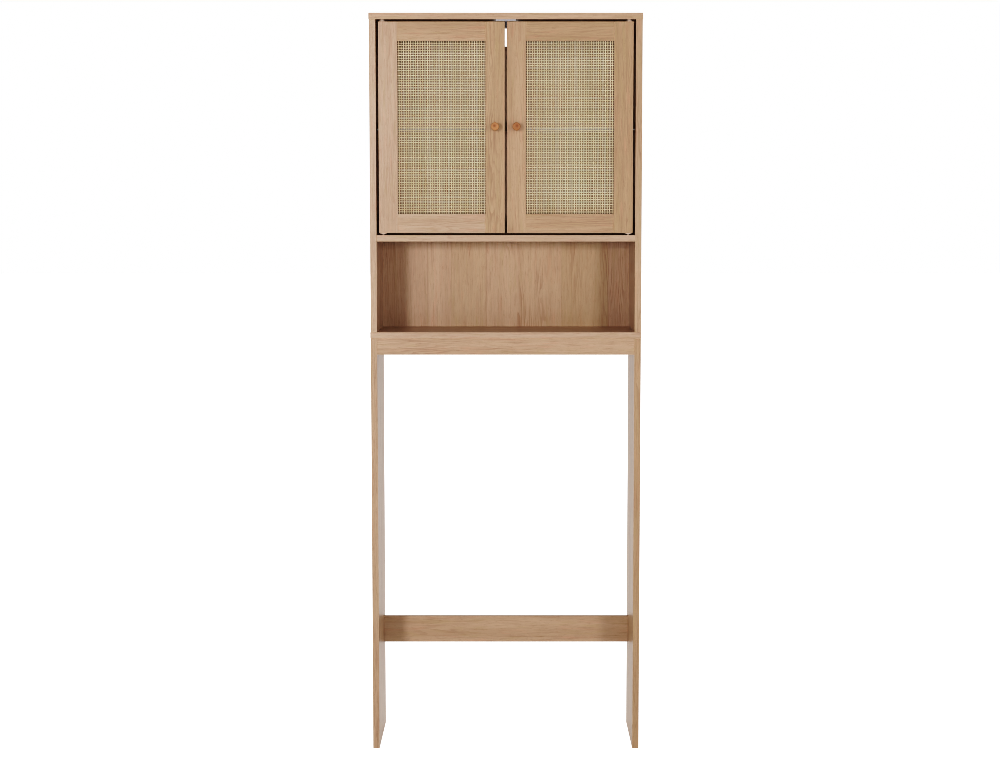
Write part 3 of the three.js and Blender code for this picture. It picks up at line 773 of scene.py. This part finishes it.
def knob_profile(length, radius):
    """From the foot to the face: a waisted foot, a flare, a rounded rim and a shallow dish."""
    foot = FOOT_SHARE * radius
    dish = DISH_SHARE * radius
    points = [(0.0, 0.0), (0.0, foot - FOOT_BREAK), (FOOT_BREAK, foot)]
    for step in range(1, FLARE_STEPS + 1):
        share = step / FLARE_STEPS
        swell = share * share * (3 - 2 * share)
        points.append((length * (WAIST + FLARE * share), foot + (radius - foot) * swell))
    for step in range(RIM_STEPS + 1):
        turn = math.radians(90 - 90 * step / RIM_STEPS)
        along = length - RIM_RADIUS + RIM_RADIUS * math.cos(turn)
        points.append((along, radius - RIM_RADIUS + RIM_RADIUS * math.sin(turn)))
    points.append((length, dish))
    for step in range(1, DISH_STEPS):
        share = step / DISH_STEPS
        points.append((length - DISH_DEPTH * (1 - (1 - share) ** 2), dish * (1 - share)))
    points.append((length - DISH_DEPTH, 0.0))
    return points


KNOB_MIDDLE = (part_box("right_knob")[0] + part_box("right_knob")[1]) / 2
HEART_ASIDE = 0.0012  # how far the wood's heart lies from the middle of the face
HEART_UP = 0.0016
HEART_RADIUS = 0.0062
HEART_SHARE = 0.75
KNOB_RING_WIDTH = 0.0011
KNOB_RING_WOBBLE = 0.0016
KNOB_RING_SHARE = 0.4
DARKER_SHARE = 0.4
KNOB_WOOD = (colour(182, 130, 90), colour(206, 160, 120))
KNOB_RING = colour(126, 76, 48)
KNOB_HEART = colour(136, 76, 48)
KNOB_DARK = colour(140, 82, 52)

knob_wood, knob_tree, knob_shader = material("oiled_knob")
knob_place = add(knob_tree, "TexCoord").outputs["Object"]
knob_parts = add(knob_tree, "SeparateXYZ", {0: knob_place})
mirrored = maths(knob_tree, "ABSOLUTE", knob_parts.outputs["X"])
off_x = maths(knob_tree, "SUBTRACT", mirrored, KNOB_MIDDLE.x + HEART_ASIDE)
off_z = maths(knob_tree, "SUBTRACT", knob_parts.outputs["Z"], KNOB_MIDDLE.z + HEART_UP)
knob_flat = add(knob_tree, "CombineXYZ", {0: off_x, 1: 0.0, 2: off_z})
from_heart = add(
    knob_tree, "VectorMath", {0: knob_flat.outputs[0]}, operation="LENGTH"
).outputs["Value"]
knob_wave = add(
    knob_tree, "TexNoise", {"Vector": knob_place, "Scale": 110.0, "Detail": 3.0, "Roughness": 0.6}
).outputs["Fac"]
ring_place = maths(knob_tree, "MULTIPLY_ADD", knob_wave, KNOB_RING_WOBBLE, from_heart)
ring_phase = maths(knob_tree, "FRACT", maths(knob_tree, "DIVIDE", ring_place, KNOB_RING_WIDTH))
knob_rings = remap(knob_tree, ring_phase, 0.45, 0.95)
ring_share = maths(knob_tree, "MULTIPLY", knob_rings, KNOB_RING_SHARE)
lengthwise = add(knob_tree, "Mapping", {"Vector": knob_place, "Rotation": GRAIN_TURNS["y"]})
knob_fibres = stretched(
    knob_tree, lengthwise.outputs[0], 0.0006, 0.02, 4.0, detail=3.0, roughness=0.6
)
heart_stain = remap(knob_tree, from_heart, 0.0, HEART_RADIUS, HEART_SHARE, 0.0)
# the right knob coloured darker
darker_piece = remap(knob_tree, knob_parts.outputs["X"], -0.001, 0.001, 0.0, DARKER_SHARE)
knob_tone = mix_colour(knob_tree, remap(knob_tree, knob_fibres, 0.3, 0.7), *KNOB_WOOD)
knob_tone = mix_colour(knob_tree, ring_share, knob_tone, KNOB_RING)
knob_tone = mix_colour(knob_tree, heart_stain, knob_tone, KNOB_HEART)
knob_tone = mix_colour(knob_tree, darker_piece, knob_tone, KNOB_DARK)
knob_tree.links.new(knob_tone, knob_shader.inputs["Base Color"])
knob_gloss = remap(knob_tree, knob_fibres, 0.3, 0.7, 0.42, 0.58)
knob_tree.links.new(knob_gloss, knob_shader.inputs["Roughness"])
knob_shader.inputs["Specular IOR Level"].default_value = 0.3
roughen(knob_tree, knob_shader, knob_fibres, 0.3, 0.0001)

for side in SIDES:
    knob_low, knob_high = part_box(side + "_knob")
    knob_middle = (knob_low + knob_high) / 2
    foot_centre = Vector((knob_middle.x, knob_high.y, knob_middle.z))
    profile = knob_profile(knob_high.y - knob_low.y, (knob_high.z - knob_low.z) / 2)
    knob = turned_piece(side + "_turned_knob", profile, foot_centre, (0, -1, 0))
    knob.data.materials.append(knob_wood)
    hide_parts(side + "_knob")
    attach(knob, side + "_door")

# ---------------------------------------------------------------------------
# Steel fixings. Zinc-plated knob screws, confirmat bolts, catch screws and shelf pins, and
# the stamped strike plates on the backs of the doors that the magnets pull on.
# ---------------------------------------------------------------------------

CLOUD_SCALE = 160.0
DULLED = 0.72  # how bright a dull patch is against the rest


def metal(name, base, rough_low, rough_high, scratch_scale):
    """Plated or bare metal with faint brushing, dull patches and fine scratches."""
    made, tree, shader = material(name)
    place = add(tree, "TexCoord").outputs["Object"]
    brushed = add(
        tree, "TexNoise", {"Vector": place, "Scale": scratch_scale, "Detail": 4.0, "Roughness": 0.65}
    ).outputs["Fac"]
    clouds = add(
        tree, "TexNoise", {"Vector": place, "Scale": CLOUD_SCALE, "Detail": 2.0}
    ).outputs["Fac"]
    dull = tuple(channel * DULLED for channel in base[:3]) + (1.0,)
    plating = mix_colour(tree, remap(tree, clouds, 0.4, 0.7), base, dull)
    tree.links.new(plating, shader.inputs["Base Color"])
    brushing = remap(tree, brushed, 0.3, 0.7, rough_low, rough_high)
    tree.links.new(brushing, shader.inputs["Roughness"])
    shader.inputs["Metallic"].default_value = 1.0
    roughen(tree, shader, brushed, 0.25, 0.00005)
    return made


zinc = metal("zinc_plate", colour(196, 198, 200), 0.22, 0.4, 900.0)
STEEL_NODES = [f"{kind}_bolt_{side}" for kind in ("floor", "apron", "crossbar") for side in SIDES]
STEEL_NODES += [f"catch_screw_{side}" for side in SIDES]
STEEL_NODES += [f"shelf_pin_{side}_{end}" for side in SIDES for end in ("front", "rear")]
STEEL_NODES += [f"{side}_{kind}" for side in SIDES for kind in ("knob_screw", "strike_plate")]
for node in STEEL_NODES:
    coat(node, zinc)

# ---------------------------------------------------------------------------
# Pin pivots and the magnetic catch. Moulded plastic, coloured a warm grey that is partly painted
# shade, as the parts sit in the dark gaps round the doors: each door turns on an upper and a
# lower pin that plug into its stile, and the catch is screwed under the top.
# ---------------------------------------------------------------------------

SPARK_SCALE = 2600.0
FLOW_SCALE = 140.0
FLOW_SHADE = 0.88  # how bright a flow mark is against the rest


def moulded(name, base, gloss_low, gloss_high):
    """Injection-moulded plastic with a fine spark texture and slight flow marks."""
    made, tree, shader = material(name)
    place = add(tree, "TexCoord").outputs["Object"]
    spark = add(
        tree, "TexNoise", {"Vector": place, "Scale": SPARK_SCALE, "Detail": 2.0, "Roughness": 0.5}
    ).outputs["Fac"]
    flow = add(
        tree, "TexNoise", {"Vector": place, "Scale": FLOW_SCALE, "Detail": 3.0, "Distortion": 0.6}
    ).outputs["Fac"]
    flow_mark = tuple(channel * FLOW_SHADE for channel in base[:3]) + (1.0,)
    plastic = mix_colour(tree, remap(tree, flow, 0.35, 0.65), flow_mark, base)
    tree.links.new(plastic, shader.inputs["Base Color"])
    sparkle = remap(tree, spark, 0.3, 0.7, gloss_low, gloss_high)
    tree.links.new(sparkle, shader.inputs["Roughness"])
    roughen(tree, shader, spark, 0.3, 0.00004)
    return made


# both greys are partly painted shade for parts that sit in the gaps round the doors
pivot_plastic = moulded("pivot_plastic", colour(200, 178, 162), 0.4, 0.55)
catch_plastic = moulded("catch_plastic", colour(178, 174, 178), 0.38, 0.5)
for side in SIDES:
    for end in ("upper", "lower"):
        for kind in ("pivot", "socket"):
            coat(f"{side}_{end}_{kind}", pivot_plastic)
coat("catch_body", catch_plastic)

nickel = metal("magnet_nickel", colour(120, 118, 116), 0.3, 0.5, 500.0)
for side in SIDES:
    coat("catch_magnet_" + side, nickel)

# ---------------------------------------------------------------------------
# Dowels. Fluted beech pegs glued into the ends of the side panels and legs; they stay
# hidden inside the boards unless the rack is taken apart.
# ---------------------------------------------------------------------------

BEECH = (colour(214, 186, 150), colour(226, 200, 166), colour(186, 148, 108))
beech = oak("dowel_beech", "z", 22, *BEECH, 0.0, 0.0)
for kind in ("top", "leg"):
    for side in SIDES:
        for end in ("front", "rear"):
            coat(f"{kind}_dowel_{side}_{end}", beech)
